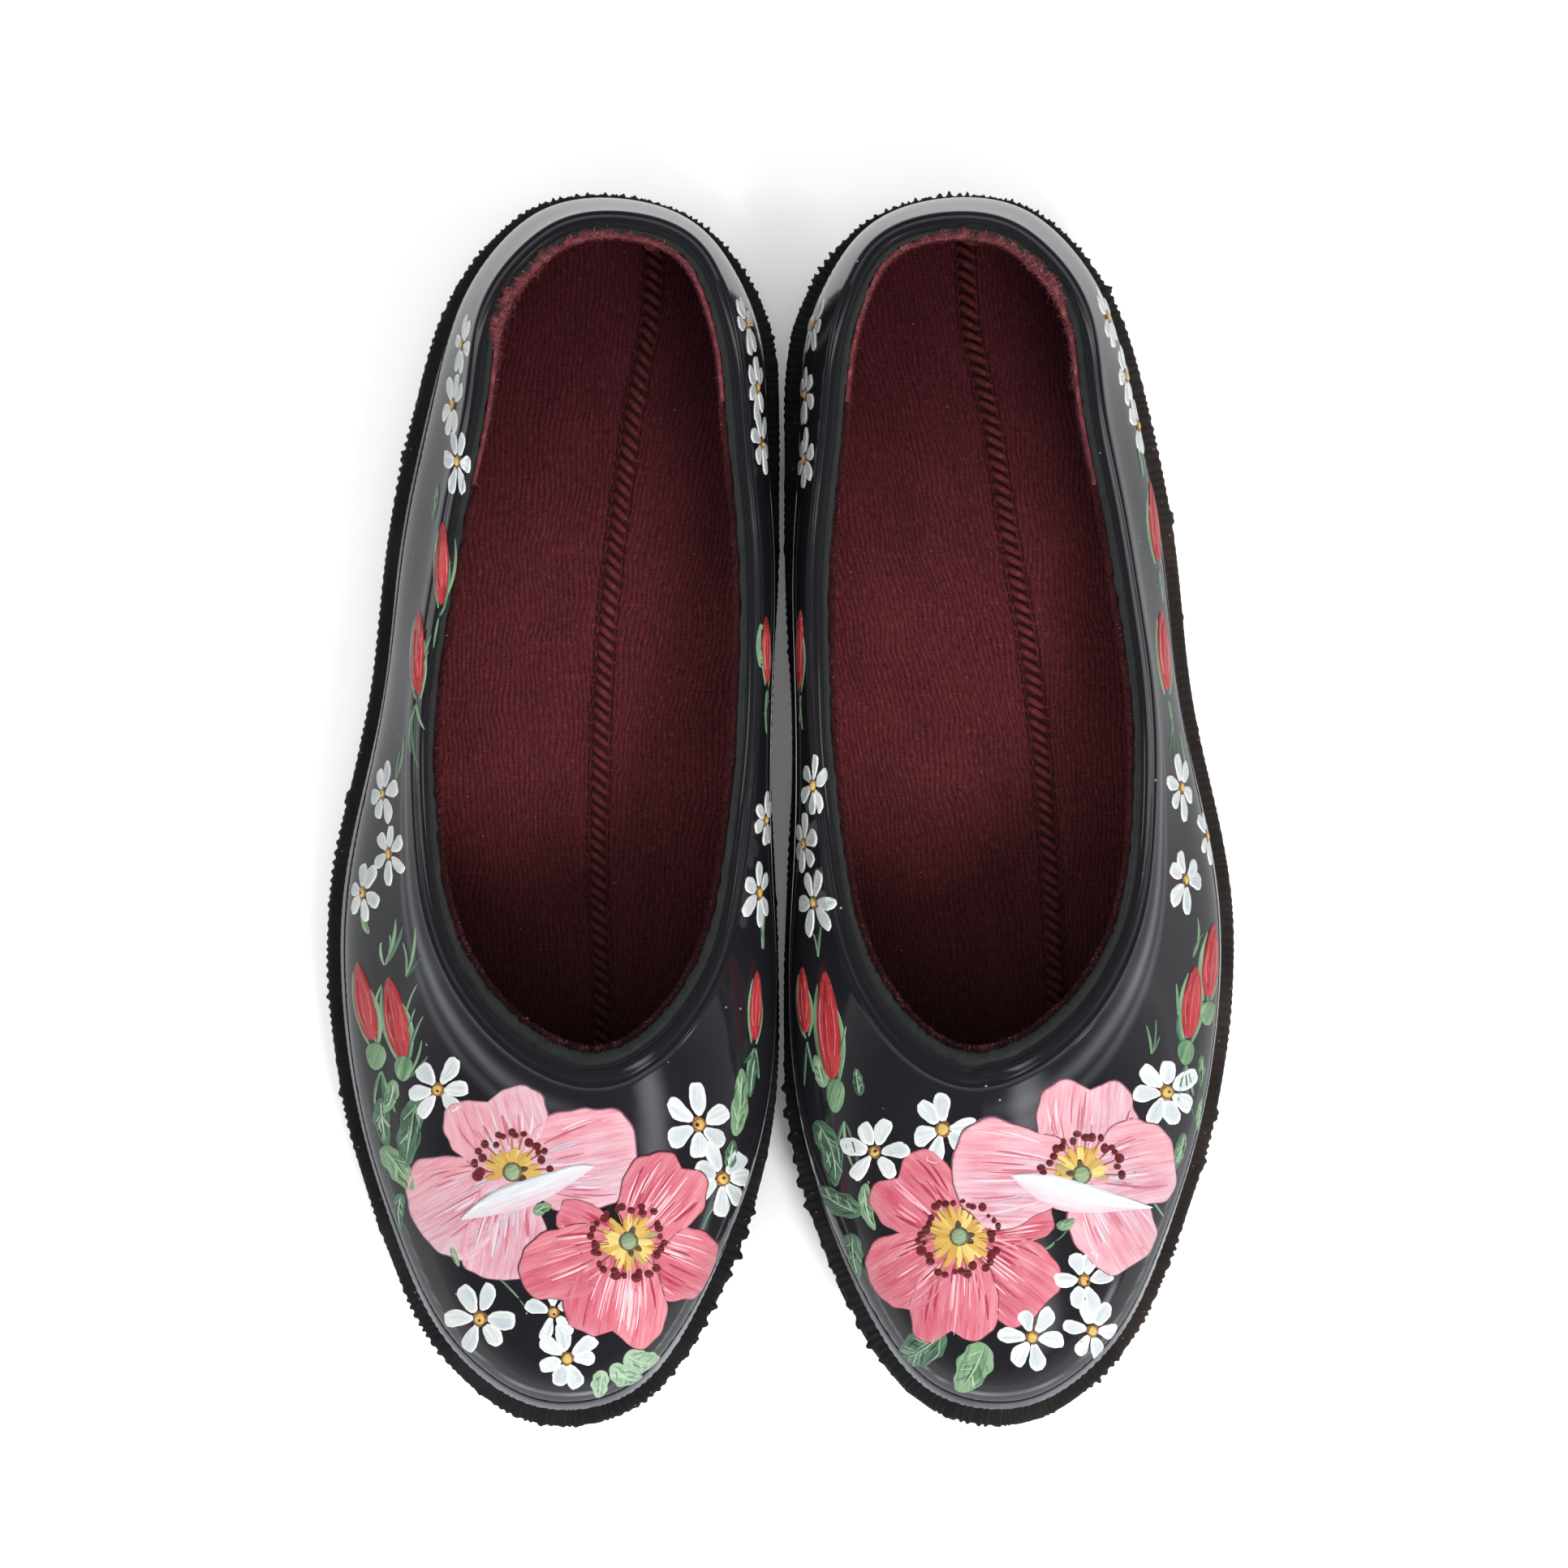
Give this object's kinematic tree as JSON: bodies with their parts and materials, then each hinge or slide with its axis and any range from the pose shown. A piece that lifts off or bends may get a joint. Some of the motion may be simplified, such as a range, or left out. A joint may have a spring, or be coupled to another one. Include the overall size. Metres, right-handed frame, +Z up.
{
  "type": "slip-on galosh pair",
  "caption": "Pair of low black moulded slip-on galoshes with a rolled collar, knit lining, ribbed welt and cleated sole; painted flowers on the uppers.",
  "frame": {"origin": "centre of the pair on the ground, midway between the two shoes and midway from heel to toe", "axes": "+Z up, toes toward -Y, the wearer's right shoe at -X and the left shoe at +X"},
  "size_m": [0.1974, 0.2663, 0.0675],
  "materials": {
    "outsole": "matt moulded rubber, brown-black",
    "upper": "high-gloss black moulded PVC",
    "lining": "burgundy rib knit",
    "seam": "burgundy overlock thread"
  },
  "bodies": {
    "right_shoe": {"right_outsole": "outsole", "right_upper": "upper", "right_sock_lining": "lining", "right_lining_seam": "seam"},
    "left_shoe": {"left_outsole": "outsole", "left_upper": "upper", "left_sock_lining": "lining", "left_lining_seam": "seam"}
  },
  "joints": [
    {"name": "pair_spread", "type": "slide", "parent": "right_shoe", "child": "left_shoe", "axis": [1, 0, 0], "range_m": [0, 0.2]}
  ]
}
